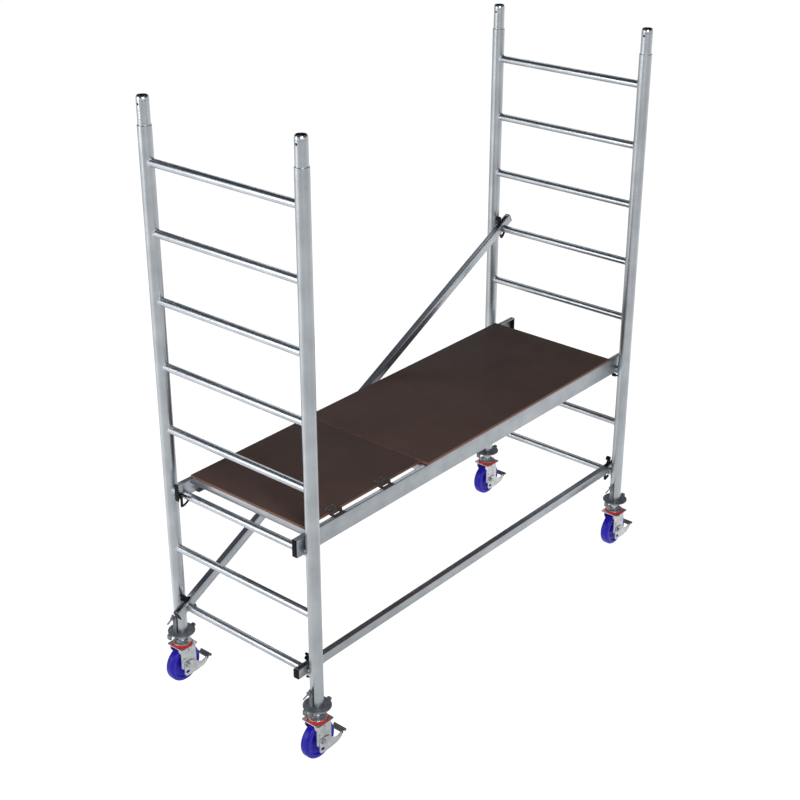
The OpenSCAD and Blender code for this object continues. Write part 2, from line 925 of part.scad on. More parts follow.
module brake_lever() {
    arm_y = leg_gap + leg_wall + lever_gap;
    slot_at = [-4, -31];
    slot_half = 7;
    slot_r = 3;
    slot_angle = 50;
    pedal_x = pedal_reach + wheel_trail - pedal_depth;
    ear_depth = 8;
    ear_wall = 3;
    color("gainsboro")
        translate([-wheel_trail, 0, wheel_r])
            union() {
                for (side = both_sides)
                    translate([0, side > 0 ? arm_y + lever_wall : -arm_y, 0])
                        rotate([90, 0, 0])
                            linear_extrude(height = lever_wall)
                                difference() {
                                    polygon(arm_outline());
                                    circle(r = axle_r + turn_gap);
                                    translate(slot_at)
                                        rotate(slot_angle) {
                                            square([2 * slot_half, 2 * slot_r],
                                                   center = true);
                                            for (end = both_sides)
                                                translate([end * slot_half, 0])
                                                    circle(r = slot_r);
                                        }
                                }
                difference() {
                    translate([pedal_x - ear_depth, -arm_y - lever_wall, -pedal_drop])
                        cube([pedal_depth + ear_depth, 2 * (arm_y + lever_wall),
                              pedal_height]);
                    translate([pedal_x - ear_depth - 1, -arm_y + ear_wall,
                               -pedal_drop - 1])
                        cube([ear_depth + 1, 2 * (arm_y - ear_wall), pedal_height + 2]);
                }
            }
}

module castor_part(c, p) {
    at_castor(c) {
        if (p == "spindle") spindle();
        if (p == "spindle_nut") spindle_nut();
        if (p == "wing_screw") wing_screw();
        if (p == "seal_ring") seal_ring();
        if (p == "fork") fork();
        if (p == "axle") axle();
        if (p == "wheel") wheel();
        if (p == "brake_lever") brake_lever();
    }
}

post(-1, -1);  // near_left_post
post(-1, 1);  // far_left_post
post(1, -1);  // near_right_post
post(1, 1);  // far_right_post
spigots();
spigot_rims();
rungs();
near_rail();
far_rail();
cross_members();
main_deck();
hatch_board();
hinge_fixed_leaves();
hinge_moving_leaves();
hinge_pins();
rail_end_caps();
left_windlock();
right_windlock();
pivot_pins();
strut_tube();
brace_tube();
bar_end_caps();
bar_knobs();
strut_trigger(-1);  // strut_left_trigger
strut_trigger(1);  // strut_right_trigger
brace_trigger(-1);  // brace_low_trigger
brace_trigger(1);  // brace_high_trigger
nut_retainers();
for (c = CASTORS, p = PARTS)
    castor_part(c, p);
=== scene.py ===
"""Looks of the frame scaffold section: ladder frames, platform, braces and castors.

Sizes are in millimetres unless a name ends in _m. The frame is the CAD one: X along the bay,
Y across it, Z up, with the wheels at rest standing on z = 0.
"""

import json
import math

import bpy
from mathutils import Matrix, Vector

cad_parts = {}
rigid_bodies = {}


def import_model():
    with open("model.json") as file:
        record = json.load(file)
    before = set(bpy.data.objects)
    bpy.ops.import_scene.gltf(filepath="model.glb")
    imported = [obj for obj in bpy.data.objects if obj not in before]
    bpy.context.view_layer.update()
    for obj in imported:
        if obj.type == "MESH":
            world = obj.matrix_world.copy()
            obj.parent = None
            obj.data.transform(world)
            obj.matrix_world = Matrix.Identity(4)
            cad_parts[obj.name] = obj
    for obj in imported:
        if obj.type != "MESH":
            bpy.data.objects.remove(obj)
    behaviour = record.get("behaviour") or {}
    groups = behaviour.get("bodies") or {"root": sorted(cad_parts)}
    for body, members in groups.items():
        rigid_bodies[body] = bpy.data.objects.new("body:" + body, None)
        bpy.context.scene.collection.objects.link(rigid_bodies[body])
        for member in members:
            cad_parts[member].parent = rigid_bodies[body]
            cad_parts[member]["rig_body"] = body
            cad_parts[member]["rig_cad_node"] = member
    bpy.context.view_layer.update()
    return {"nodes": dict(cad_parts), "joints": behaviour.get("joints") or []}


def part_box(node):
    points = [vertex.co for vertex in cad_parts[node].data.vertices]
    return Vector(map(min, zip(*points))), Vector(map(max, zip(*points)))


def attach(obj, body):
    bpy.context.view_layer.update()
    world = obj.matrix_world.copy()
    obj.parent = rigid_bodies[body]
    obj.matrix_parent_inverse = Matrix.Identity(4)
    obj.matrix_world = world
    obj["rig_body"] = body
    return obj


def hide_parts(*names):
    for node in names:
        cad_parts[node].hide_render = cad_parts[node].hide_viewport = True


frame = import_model()

MM = 0.001
WELD_GAP = 0.01          # points closer than this are one point
FLAT_ANGLE = 0.5         # degrees; triangles that meet flatter than this are one face
SMOOTH_ANGLE = 35        # degrees; edges sharper than this stay sharp
CASTORS = ["near_left", "far_left", "near_right", "far_right"]
ROOT = "scaffold_frame"


# ------------------------------------------------------------------ modelling helpers

def only(obj):
    """Makes obj the one selected and active object."""
    bpy.ops.object.select_all(action="DESELECT")
    obj.select_set(True)
    bpy.context.view_layer.objects.active = obj


def draw(name, points):
    """Draws a closed line through the points, vertex by vertex, and stays in edit mode."""
    bpy.ops.object.select_all(action="DESELECT")
    bpy.ops.mesh.primitive_plane_add(size=MM)
    obj = bpy.context.object
    obj.name = name
    bpy.ops.object.mode_set(mode="EDIT")
    bpy.ops.mesh.select_all(action="SELECT")
    bpy.ops.mesh.merge(type="CENTER")
    bpy.ops.transform.translate(value=Vector(points[0]) * MM)
    here = Vector(points[0])
    for point in list(points[1:]) + [points[0]]:
        step = (Vector(point) - here) * MM
        bpy.ops.mesh.extrude_region_move(TRANSFORM_OT_translate={"value": step})
        here = Vector(point)
    merge_points()
    return obj


def merge_points():
    """Merges points that lie on each other, in edit mode."""
    bpy.ops.mesh.select_all(action="SELECT")
    bpy.ops.mesh.remove_doubles(threshold=WELD_GAP * MM)


def face_outwards():
    """Points every face outwards, and leaves edit mode."""
    bpy.ops.mesh.select_all(action="SELECT")
    bpy.ops.mesh.normals_make_consistent(inside=False)
    bpy.ops.object.mode_set(mode="OBJECT")


def lathe(name, profile, steps=64):
    """Turns a closed profile of (radius, height) points about the Z axis."""
    obj = draw(name, [(radius, 0, height) for radius, height in profile])
    bpy.ops.mesh.spin(steps=steps, angle=math.tau, center=(0, 0, 0), axis=(0, 0, 1))
    merge_points()
    face_outwards()
    return obj


def plate(name, outline, thickness, corner=0.0, rounding=4):
    """Cuts a plate in the XZ plane to an outline, its thickness centred on y = 0."""
    obj = draw(name, [(x, -thickness / 2, z) for x, z in outline])
    bpy.ops.mesh.edge_face_add()
    if corner:
        bpy.ops.mesh.bevel(offset=corner * MM, segments=rounding, affect="VERTICES")
        merge_points()
    bpy.ops.mesh.select_all(action="SELECT")
    bpy.ops.mesh.extrude_region_move(
        TRANSFORM_OT_translate={"value": (0, thickness * MM, 0)})
    face_outwards()
    return obj


def block(name, low, high):
    """A box between two corners, for a piece that is then shaped."""
    low = Vector(low)
    high = Vector(high)
    bpy.ops.object.select_all(action="DESELECT")
    bpy.ops.mesh.primitive_cube_add(size=MM)
    obj = bpy.context.object
    obj.name = name
    bpy.ops.object.mode_set(mode="EDIT")
    bpy.ops.mesh.select_all(action="SELECT")
    bpy.ops.transform.resize(value=high - low)
    bpy.ops.transform.translate(value=(low + high) / 2 * MM)
    bpy.ops.object.mode_set(mode="OBJECT")
    return obj


def rod(name, radius, start, end, sides=32):
    """A cylinder from one point to another, for a cutter or a piece that is then shaped."""
    start = Vector(start)
    end = Vector(end)
    bpy.ops.object.select_all(action="DESELECT")
    bpy.ops.mesh.primitive_cylinder_add(
        vertices=sides, radius=radius * MM, depth=(end - start).length * MM)
    obj = bpy.context.object
    obj.name = name
    turn = (end - start).to_track_quat("Z", "Y").to_matrix().to_4x4()
    obj.data.transform(Matrix.Translation((start + end) / 2 * MM) @ turn)
    return obj


def apply_modifier(obj, modifier):
    """Makes a modifier's result the mesh itself."""
    only(obj)
    bpy.ops.object.modifier_apply(modifier=modifier.name)


def cut(obj, *cutters):
    """Takes the cutters out of obj."""
    for cutter in cutters:
        modifier = obj.modifiers.new("cut", "BOOLEAN")
        modifier.operation = "DIFFERENCE"
        modifier.solver = "EXACT"
        modifier.object = cutter
        apply_modifier(obj, modifier)
        bpy.data.objects.remove(cutter)


def soften(obj, width, segments=2, angle=32, clamp=True):
    """Rounds the edges that are sharper than an angle in degrees."""
    modifier = obj.modifiers.new("edges", "BEVEL")
    modifier.width = width * MM
    modifier.segments = segments
    modifier.limit_method = "ANGLE"
    modifier.angle_limit = math.radians(angle)
    modifier.use_clamp_overlap = clamp
    apply_modifier(obj, modifier)
    return obj


def join(*objs):
    """Makes one object of several, and returns it."""
    only(objs[0])
    for obj in objs:
        obj.select_set(True)
    bpy.ops.object.join()
    return objs[0]


def turn(obj, degrees, axis):
    """Turns the mesh itself about an axis through the origin."""
    obj.data.transform(Matrix.Rotation(math.radians(degrees), 4, axis))
    return obj


def move(obj, x, y, z):
    """Moves the mesh itself, so that the object stays at the origin."""
    obj.data.transform(Matrix.Translation(Vector((x, y, z)) * MM))
    return obj


def copy_of(obj, x=0.0, y=0.0, z=0.0):
    """A copy with its own mesh, moved by x, y and z."""
    made = obj.copy()
    made.data = obj.data.copy()
    bpy.context.scene.collection.objects.link(made)
    return move(made, x, y, z)


def from_cad(node, edge, segments=2):
    """A merged copy of a CAD node with its edges rounded."""
    source = frame["nodes"][node]
    made = source.copy()
    made.data = source.data.copy()
    made.parent = None
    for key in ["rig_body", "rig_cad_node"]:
        del made[key]
    bpy.context.scene.collection.objects.link(made)
    made.hide_render = False
    made.hide_viewport = False
    only(made)
    bpy.ops.mesh.customdata_custom_splitnormals_clear()
    bpy.ops.object.mode_set(mode="EDIT")
    merge_points()
    bpy.ops.mesh.dissolve_limited(angle_limit=math.radians(FLAT_ANGLE))
    bpy.ops.object.mode_set(mode="OBJECT")
    return soften(made, edge, segments, clamp=False)


def finish_piece(obj, name, body, material, slot, *nodes):
    """Names a piece, gives it its material and its body, and hides the nodes it stands for; the
    slot is not used.
    """
    obj.name = name
    obj.data.name = name
    if material:
        obj.data.materials.clear()
        obj.data.materials.append(material)
    only(obj)
    bpy.ops.object.shade_smooth_by_angle(angle=math.radians(SMOOTH_ANGLE))
    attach(obj, body)
    if nodes:
        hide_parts(*nodes)


# ------------------------------------------------------------------ materials

class Finish:
    """A material under construction: a Principled shader and the patterns that feed it."""

    def __init__(self, name, colour, roughness, metallic=0.0):
        self.material = bpy.data.materials.new(name)
        self.material.use_nodes = True
        self.tree = self.material.node_tree
        self.shader = self.tree.nodes["Principled BSDF"]
        self.shader.inputs["Base Color"].default_value = (*colour, 1)
        self.shader.inputs["Roughness"].default_value = roughness
        self.shader.inputs["Metallic"].default_value = metallic
        self.points = self.tree.nodes.new("ShaderNodeTexCoord").outputs["Object"]

    def node(self, kind, **values):
        """A new shader node with its settings."""
        made = self.tree.nodes.new(kind)
        for key, value in values.items():
            setattr(made, key, value)
        return made

    def mapped(self, scale, rotation=(0, 0, 0)):
        """Object coordinates turned and then scaled along each axis."""
        turned = self.node("ShaderNodeMapping")
        turned.inputs["Rotation"].default_value = rotation
        self.tree.links.new(self.points, turned.inputs["Vector"])
        scaled = self.node("ShaderNodeMapping")
        scaled.inputs["Scale"].default_value = scale
        self.tree.links.new(turned.outputs["Vector"], scaled.inputs["Vector"])
        return scaled.outputs["Vector"]

    def noise(self, points, scale, detail=3.0, rough=0.55):
        made = self.node("ShaderNodeTexNoise")
        made.inputs["Scale"].default_value = scale
        made.inputs["Detail"].default_value = detail
        made.inputs["Roughness"].default_value = rough
        self.tree.links.new(points, made.inputs["Vector"])
        return made.outputs["Fac"]

    def wave(self, points, scale, direction):
        """Straight bands across one axis."""
        made = self.node("ShaderNodeTexWave", bands_direction=direction)
        made.inputs["Scale"].default_value = scale
        made.inputs["Distortion"].default_value = 0.0
        self.tree.links.new(points, made.inputs["Vector"])
        return made.outputs["Fac"]

    def cells(self, points, scale):
        made = self.node("ShaderNodeTexVoronoi")
        made.inputs["Scale"].default_value = scale
        self.tree.links.new(points, made.inputs["Vector"])
        return made.outputs["Distance"]

    def ramp(self, value, *stops):
        """Colours or greys at positions from 0 to 1 along a pattern."""
        made = self.node("ShaderNodeValToRGB")
        band = made.color_ramp
        while len(band.elements) < len(stops):
            band.elements.new(0.5)
        for element, (place, colour) in zip(band.elements, stops):
            element.position = place
            grey = isinstance(colour, (int, float))
            element.color = (colour, colour, colour, 1) if grey else (*colour, 1)
        self.tree.links.new(value, made.inputs["Fac"])
        return made.outputs["Color"]

    def between(self, value, low, high):
        """A pattern from 0 to 1, spread from low to high."""
        made = self.node("ShaderNodeMapRange")
        made.inputs["To Min"].default_value = low
        made.inputs["To Max"].default_value = high
        self.tree.links.new(value, made.inputs["Value"])
        return made.outputs["Result"]

    def product(self, first, second):
        made = self.node("ShaderNodeMath", operation="MULTIPLY")
        self.tree.links.new(first, made.inputs[0])
        self.tree.links.new(second, made.inputs[1])
        return made.outputs["Value"]

    def feed(self, socket, value):
        self.tree.links.new(value, self.shader.inputs[socket])

    def bump(self, height, strength, depth):
        """Bump of a depth in millimetres, over any bump that the shader has."""
        made = self.node("ShaderNodeBump")
        made.inputs["Strength"].default_value = strength
        made.inputs["Distance"].default_value = depth * MM
        self.tree.links.new(height, made.inputs["Height"])
        socket = self.shader.inputs["Normal"]
        if socket.is_linked:
            self.tree.links.new(socket.links[0].from_socket, made.inputs["Normal"])
        self.tree.links.new(made.outputs["Normal"], socket)


def aluminium(name, along, colour, dull, tilt=0.0):
    """Mill-finish aluminium with drawing lines along one axis and a few dull patches."""
    finish = Finish(name, colour, 0.3, metallic=1.0)
    stretch = [900.0, 900.0, 900.0]
    stretch["XYZ".index(along)] = 5.0
    turned = (0, math.radians(tilt), 0)
    lines = finish.noise(finish.mapped(stretch, turned), 1.0, detail=2.0)
    patches = finish.noise(finish.points, 9.0, detail=4.0)
    darker = tuple(channel * 0.86 for channel in colour)
    lighter = tuple(min(1.0, channel * 1.05) for channel in colour)
    finish.feed("Base Color", finish.ramp(patches, (0.35, darker), (0.65, lighter)))
    finish.feed("Roughness", finish.between(lines, dull - 0.09, dull + 0.13))
    finish.bump(lines, 0.12, 0.05)
    return finish.material


def plated_steel(name, colour, dull):
    """Zinc plate: a faint crystal pattern and a little dust."""
    finish = Finish(name, colour, dull, metallic=1.0)
    crystals = finish.cells(finish.points, 160.0)
    dust = finish.noise(finish.points, 45.0, detail=5.0)
    darker = tuple(channel * 0.72 for channel in colour)
    finish.feed("Base Color", finish.ramp(dust, (0.3, darker), (0.62, colour)))
    finish.feed("Roughness", finish.between(crystals, dull - 0.06, dull + 0.16))
    finish.bump(dust, 0.15, 0.08)
    return finish.material


def cast_metal(name, colour, dull):
    """Coated cast steel with a fine orange-peel skin, worn a little paler in patches."""
    finish = Finish(name, colour, dull, metallic=0.35)
    peel = finish.noise(finish.points, 420.0, detail=2.0)
    wear = finish.noise(finish.points, 70.0, detail=6.0)
    worn = tuple(min(1.0, channel * 1.7 + 0.03) for channel in colour)
    finish.feed("Base Color", finish.ramp(wear, (0.45, colour), (0.75, worn)))
    finish.feed("Roughness", finish.between(wear, dull - 0.08, dull + 0.12))
    finish.bump(peel, 0.3, 0.12)
    return finish.material


def moulded(name, colour, dull, grain=700.0, depth=0.05, gloss=0.28):
    """Moulded plastic with a spark-eroded grain and slight flow marks."""
    finish = Finish(name, colour, dull)
    finish.shader.inputs["Specular IOR Level"].default_value = gloss
    skin = finish.noise(finish.points, grain, detail=2.0)
    flow = finish.noise(finish.points, 28.0, detail=3.0)
    paler = tuple(min(1.0, channel * 1.25 + 0.004) for channel in colour)
    finish.feed("Base Color", finish.ramp(flow, (0.35, colour), (0.7, paler)))
    finish.feed("Roughness", finish.between(flow, dull - 0.05, dull + 0.08))
    finish.bump(skin, 0.35, depth)
    return finish.material


def board_film():
    """Brown phenolic film pressed with a fine wire mesh, scuffed along the bay."""
    finish = Finish("board_film", (0.052, 0.033, 0.028), 0.6)
    finish.shader.inputs["Specular IOR Level"].default_value = 0.18
    mesh_pitch = 400.0
    warp = finish.wave(finish.points, mesh_pitch, "X")
    weft = finish.wave(finish.points, mesh_pitch, "Y")
    mesh = finish.product(warp, weft)
    tone = finish.noise(finish.points, 6.0, detail=5.0)
    scuff = finish.noise(finish.mapped((6.0, 60.0, 60.0)), 1.0, detail=6.0)
    finish.feed("Base Color", finish.ramp(tone, (0.3, (0.096, 0.058, 0.048)),
                                          (0.7, (0.117, 0.071, 0.058))))
    finish.feed("Roughness", finish.between(scuff, 0.52, 0.74))
    finish.bump(mesh, 0.4, 0.25)
    finish.bump(scuff, 0.12, 0.1)
    return finish.material


def board_edge():
    """Cut edge of birch ply under brown sealer, in thin layers."""
    finish = Finish("board_edge", (0.2, 0.09, 0.055), 0.62)
    layers = finish.wave(finish.mapped((1.0, 1.0, 230.0)), 1.0, "Z")
    fibre = finish.noise(finish.mapped((30.0, 30.0, 900.0)), 1.0, detail=5.0)
    finish.feed("Base Color", finish.ramp(layers, (0.35, (0.13, 0.055, 0.036)),
                                          (0.65, (0.25, 0.12, 0.075))))
    finish.feed("Roughness", finish.between(fibre, 0.52, 0.75))
    finish.bump(fibre, 0.3, 0.2)
    return finish.material


ALUMINIUM = (0.52, 0.55, 0.58)
RAIL_ALUMINIUM = (0.48, 0.51, 0.54)
brace_tilt = 27.15       # degrees that the diagonal climbs
post_metal = aluminium("post_aluminium", "Z", ALUMINIUM, 0.3)
rung_metal = aluminium("rung_aluminium", "Y", ALUMINIUM, 0.28)
rail_metal = aluminium("rail_aluminium", "X", RAIL_ALUMINIUM, 0.34)
brace_metal = aluminium("brace_aluminium", "X", RAIL_ALUMINIUM, 0.34, brace_tilt)
cross_metal = aluminium("cross_member_aluminium", "Y", (0.5, 0.52, 0.55), 0.36)
spigot_metal = aluminium("spigot_aluminium", "Z", (0.55, 0.58, 0.61), 0.26)
weld_metal = plated_steel("weld_bead", (0.7, 0.71, 0.73), 0.42)
zinc = plated_steel("zinc_plate", (0.66, 0.68, 0.69), 0.36)
bolt_zinc = plated_steel("bolt_zinc", (0.42, 0.44, 0.46), 0.33)
DARK_COATING = (0.15, 0.165, 0.185)
hinge_brown = cast_metal("hinge_lacquer", (0.07, 0.048, 0.041), 0.55)
rivet_zinc = plated_steel("rivet_zinc", (0.3, 0.29, 0.29), 0.4)
nut_coat = cast_metal("nut_coating", DARK_COATING, 0.45)
retainer_coat = cast_metal("retainer_coating", DARK_COATING, 0.42)
black_plastic = moulded("black_plastic", (0.004, 0.004, 0.005), 0.5, gloss=0.12)
pedal_plastic = moulded("pedal_plastic", (0.12, 0.125, 0.13), 0.5, grain=500.0)
red_plastic = moulded("red_plastic", (0.62, 0.014, 0.01), 0.4)
wheel_plastic = moulded("wheel_plastic", (0.013, 0.006, 0.36), 0.34, grain=380.0, depth=0.03)
film = board_film()
ply = board_edge()


# ------------------------------------------------------------------ places taken from the frame

def middle(node):
    """The middle of a node's box, in millimetres."""
    low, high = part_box(node)
    return (low + high) / 2 / MM


post_at = {c: middle(c + "_post") for c in CASTORS}
post_low, post_high = (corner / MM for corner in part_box("near_left_post"))
post_r = (post_high.x - post_low.x) / 2
post_bottom = post_low.z
post_top = post_high.z
spigot_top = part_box("spigots")[1].z / MM
frame_half = post_at["far_left"].y
rung_r = 15.0
rung_pitch = 250.0
rung_count = 8
post_overhang = 125.0
lock_hole_rise = 70.0
lock_z = post_bottom + lock_hole_rise
bottom_rung = post_bottom + post_overhang
rung_heights = [bottom_rung + n * rung_pitch for n in range(rung_count)]
frame_xs = [post_at["near_left"].x, post_at["near_right"].x]


# ------------------------------------------------------------------ ladder frames

def make_posts():
    """Plain tubes with chamfered ends and a hole for the wing screw."""
    wall = 2.5
    chamfer = 0.6
    hole_r = 4.2
    inner_r = post_r - wall
    post = lathe("post", [
        (inner_r, post_bottom),
        (post_r - chamfer, post_bottom),
        (post_r, post_bottom + chamfer),
        (post_r, post_top - chamfer),
        (post_r - chamfer, post_top),
        (inner_r, post_top)], steps=96)
    cut(post, rod("hole", hole_r, (-2 * post_r, 0, lock_z), (0, 0, lock_z)))
    for c in CASTORS:
        made = copy_of(post, post_at[c].x, post_at[c].y)
        node = c + "_post"
        finish_piece(made, c + "_tube_post", ROOT, post_metal, "aluminium_tube", node)
    bpy.data.objects.remove(post)


def make_spigots():
    """Swaged spigots with a groove, a cross hole and a black ring in the mouth."""
    outer_r = 22.25
    inner_r = 19.75
    hole_r = 4.5
    hole_drop = 27.0
    hole_z = spigot_top - hole_drop
    grip = 120.0
    low = post_top - grip
    mouth_r = inner_r - 2.0
    spigot = lathe("spigot", [
        (inner_r, low),
        (outer_r, low),
        (outer_r, spigot_top - 16.5),
        (outer_r - 0.5, spigot_top - 16.0),
        (outer_r - 0.5, spigot_top - 14.5),
        (outer_r, spigot_top - 14.0),
        (outer_r, spigot_top - 10.0),
        (outer_r - 0.5, spigot_top - 6.5),
        (outer_r - 1.4, spigot_top - 3.4),
        (outer_r - 2.6, spigot_top - 1.2),
        (outer_r - 4.0, spigot_top),
        (mouth_r, spigot_top),
        (mouth_r, spigot_top - 3.0),
        (inner_r, spigot_top - 6.0)], steps=72)
    cut(spigot, rod("hole", hole_r, (-2 * post_r, 0, hole_z), (2 * post_r, 0, hole_z)))
    rim_r = 17.7
    rim = lathe("rim", [
        (rim_r, spigot_top - 10.0),
        (rim_r, spigot_top - 1.0),
        (rim_r - 0.5, spigot_top - 0.3),
        (rim_r - 1.4, spigot_top - 0.3),
        (rim_r - 2.0, spigot_top - 1.2),
        (rim_r - 2.0, spigot_top - 10.0)], steps=64)
    spigots = []
    rims = []
    for c in CASTORS:
        spigots.append(copy_of(spigot, post_at[c].x, post_at[c].y))
        rims.append(copy_of(rim, post_at[c].x, post_at[c].y))
    bpy.data.objects.remove(spigot)
    bpy.data.objects.remove(rim)
    finish_piece(join(*spigots), "stacking_spigots", ROOT, spigot_metal, "aluminium_tube",
                 "spigots")
    finish_piece(join(*rims), "spigot_mouth_rings", ROOT, black_plastic, "black_plastic",
                 "spigot_rims")


def make_rungs():
    """Tubes whose ends are shaped to the posts."""
    wall = 2.0
    shaped_length = 6.0
    end = frame_half - post_r + shaped_length
    tube = lathe("tube", [
        (rung_r - wall, -end),
        (rung_r, -end),
        (rung_r, end),
        (rung_r - wall, end)], steps=56)
    turn(tube, 90, "X")
    for side in (-1, 1):
        y = side * frame_half
        cut(tube, rod("post", post_r, (0, y, -3 * rung_r), (0, y, 3 * rung_r), sides=96))
    tubes = []
    for x in frame_xs:
        for z in rung_heights:
            tubes.append(copy_of(tube, x, 0, z))
    bpy.data.objects.remove(tube)
    finish_piece(join(*tubes), "rung_tubes", ROOT, rung_metal, "aluminium_tube", "rungs")


def make_welds():
    """A rippled bead where each rung meets its posts."""
    bead_r = 2.1
    ring_r = rung_r + 0.4
    ripples = 26
    ripple_share = 0.09
    steps_around = 104
    bpy.ops.object.select_all(action="DESELECT")
    bpy.ops.mesh.primitive_torus_add(
        major_radius=ring_r * MM, minor_radius=bead_r * MM,
        major_segments=steps_around, minor_segments=8, rotation=(math.pi / 2, 0, 0))
    bead = bpy.context.object
    bpy.ops.object.transform_apply(rotation=True)
    for vertex in bead.data.vertices:
        x, y, z = vertex.co / MM
        angle = math.atan2(z, x)
        ripple = 1.0 + ripple_share * math.sin(ripples * angle + 0.8 * y)
        from_centre = math.hypot(x, z)
        swell = ring_r + (from_centre - ring_r) * ripple
        saddle = post_r - math.sqrt(post_r ** 2 - min(abs(x), rung_r + bead_r) ** 2)
        vertex.co = Vector((x * swell / from_centre, y * ripple + saddle,
                            z * swell / from_centre)) * MM
    beads = []
    for side in (-1, 1):
        shaped = copy_of(bead)
        if side < 0:
            turn(shaped, 180, "Z")
        for x in frame_xs:
            for z in rung_heights:
                beads.append(copy_of(shaped, x, side * (frame_half - post_r), z))
        bpy.data.objects.remove(shaped)
    bpy.data.objects.remove(bead)
    finish_piece(join(*beads), "rung_weld_beads", ROOT, weld_metal, "aluminium_tube")


# ------------------------------------------------------------------ platform

def make_platform():
    """Side rails, cross members, end caps and the two boards."""
    for node in ["near_rail", "far_rail"]:
        finish_piece(from_cad(node, 0.8), node + "_profile", ROOT, rail_metal,
                     "aluminium_profile", node)
    finish_piece(from_cad("cross_members", 0.9), "cross_member_tubes", ROOT, cross_metal,
                 "aluminium_profile", "cross_members")
    finish_piece(from_cad("rail_end_caps", 1.2, 3), "rail_end_plugs", ROOT, black_plastic,
                 "black_plastic", "rail_end_caps")
    make_board("main_deck", "deck_board", ROOT)
    make_board("hatch_board", "hatch_panel", "hatch")


def make_board(node, name, body):
    """A film-faced board with sealed edges: the film is on its two faces."""
    edge = 1.0
    steepest_film = 0.5
    low, high = (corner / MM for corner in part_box(node))
    board = block(name, low, high)
    only(board)
    bpy.ops.object.mode_set(mode="EDIT")
    bpy.ops.mesh.select_all(action="SELECT")
    bpy.ops.mesh.bevel(offset=edge * MM, segments=2, affect="EDGES")
    bpy.ops.object.mode_set(mode="OBJECT")
    board.data.materials.append(film)
    board.data.materials.append(ply)
    for polygon in board.data.polygons:
        polygon.material_index = 0 if abs(polygon.normal.z) > steepest_film else 1
    finish_piece(board, name, body, None, "film_faced_plywood", node)


def make_hinges():
    """Leaves, pins and four rivets on each leaf that lies on the hatch."""
    rivet = lathe("rivet", [
        (0, -0.4), (3.4, -0.4), (3.4, 0.3), (2.9, 0.9), (1.8, 1.35), (0, 1.5)], steps=24)
    leaf_low, leaf_high = (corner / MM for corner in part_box("hinge_moving_leaves"))
    hinge_length = 57.0
    end_inset = 12.0
    edge_insets = (8.0, 22.0)
    leaf_top = leaf_high.z
    lefts = [leaf_low.x, leaf_high.x - hinge_length]
    rivets = []
    for left in lefts:
        for along in (end_inset, hinge_length - end_inset):
            for edge_inset in edge_insets:
                across = leaf_high.y - edge_inset
                rivets.append(copy_of(rivet, left + along, across, leaf_top))
    bpy.data.objects.remove(rivet)
    finish_piece(join(*rivets), "hinge_rivets", "hatch", rivet_zinc, "hinge_steel")
    for node, body in [("hinge_fixed_leaves", ROOT), ("hinge_moving_leaves", "hatch"),
                       ("hinge_pins", ROOT)]:
        finish_piece(from_cad(node, 0.35), node + "_rounded", body, hinge_brown, "hinge_steel",
                     node)


def make_locks():
    """Windlocks and lock triggers, with their pins."""
    for node in ["left_windlock", "right_windlock", "strut_left_trigger",
                 "strut_right_trigger", "brace_low_trigger", "brace_high_trigger"]:
        finish_piece(from_cad(node, 1.1, 3), node + "_hook", node, black_plastic,
                     "black_plastic", node)
    finish_piece(from_cad("pivot_pins", 0.4), "pivot_pins_rounded", ROOT, rivet_zinc,
                 "hinge_steel", "pivot_pins")


def middle_y(node):
    low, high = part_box(node)
    return (low.y + high.y) / 2 / MM


def make_grips():
    """Moulded thumb pads on the triggers, and finger grips on the windlock hooks."""
    pivots = {}
    for joint in frame["joints"]:
        if joint["type"] == "hinge":
            pivots[joint["child"]] = Vector(joint["pos_m"]) / MM
    finger_half = 7.0
    pad_rises = (6.5, 17.0)          # from the finger's middle line
    pad_from, pad_to = 41.0, 61.0    # from the pivot, along the finger
    pad_half = 11.0
    for node in ["strut_left_trigger", "strut_right_trigger", "brace_low_trigger",
                 "brace_high_trigger"]:
        pivot = pivots[node]
        top = max((vertex.co / MM for vertex in frame["nodes"][node].data.vertices),
                  key=lambda corner: corner.z)
        finger = top - Vector((0, 0, finger_half)) - pivot
        upper_side = 1 if finger.x < 0 else -1
        near, far = sorted(upper_side * rise for rise in pad_rises)
        pad = block("pad", (near, -pad_half, pad_from), (far, pad_half, pad_to))
        soften(pad, 4.6, 5)
        turn(pad, math.degrees(math.atan2(finger.x, finger.z)), "Y")
        move(pad, pivot.x, middle_y(node), pivot.z)
        finish_piece(pad, node + "_thumb_pad", node, black_plastic, "black_plastic")
    hook_tip = math.radians(-146)
    grip_r = 52.0
    grip_tilt = 30
    for node, outward in [("left_windlock", -1), ("right_windlock", 1)]:
        grip = soften(block("grip", (-10.0, -7.0, -7.5), (10.0, 7.0, 7.5)), 4.2, 5)
        turn(grip, outward * grip_tilt, "Y")
        move(grip, pivots[node].x + outward * grip_r * math.cos(hook_tip), middle_y(node),
             pivots[node].z + grip_r * math.sin(hook_tip))
        finish_piece(grip, node + "_grip", node, black_plastic, "black_plastic")


def make_bars():
    """The strut and the diagonal, with their end caps and screws."""
    finish_piece(from_cad("strut_tube", 1.2), "strut_profile", ROOT, rail_metal,
                 "aluminium_profile", "strut_tube")
    finish_piece(from_cad("brace_tube", 1.2), "brace_profile", ROOT, brace_metal,
                 "aluminium_profile", "brace_tube")
    finish_piece(from_cad("bar_end_caps", 1.4, 3), "bar_end_plugs", ROOT, black_plastic,
                 "black_plastic", "bar_end_caps")
    finish_piece(from_cad("bar_knobs", 1.8, 3), "bar_spring_screws", ROOT, bolt_zinc,
                 "hinge_steel", "bar_knobs")


# ------------------------------------------------------------------ castors
# Every piece is drawn about the post's axis at x = y = 0, standing on z = 0.

axle_x = -4.0
axle_z = 75.0


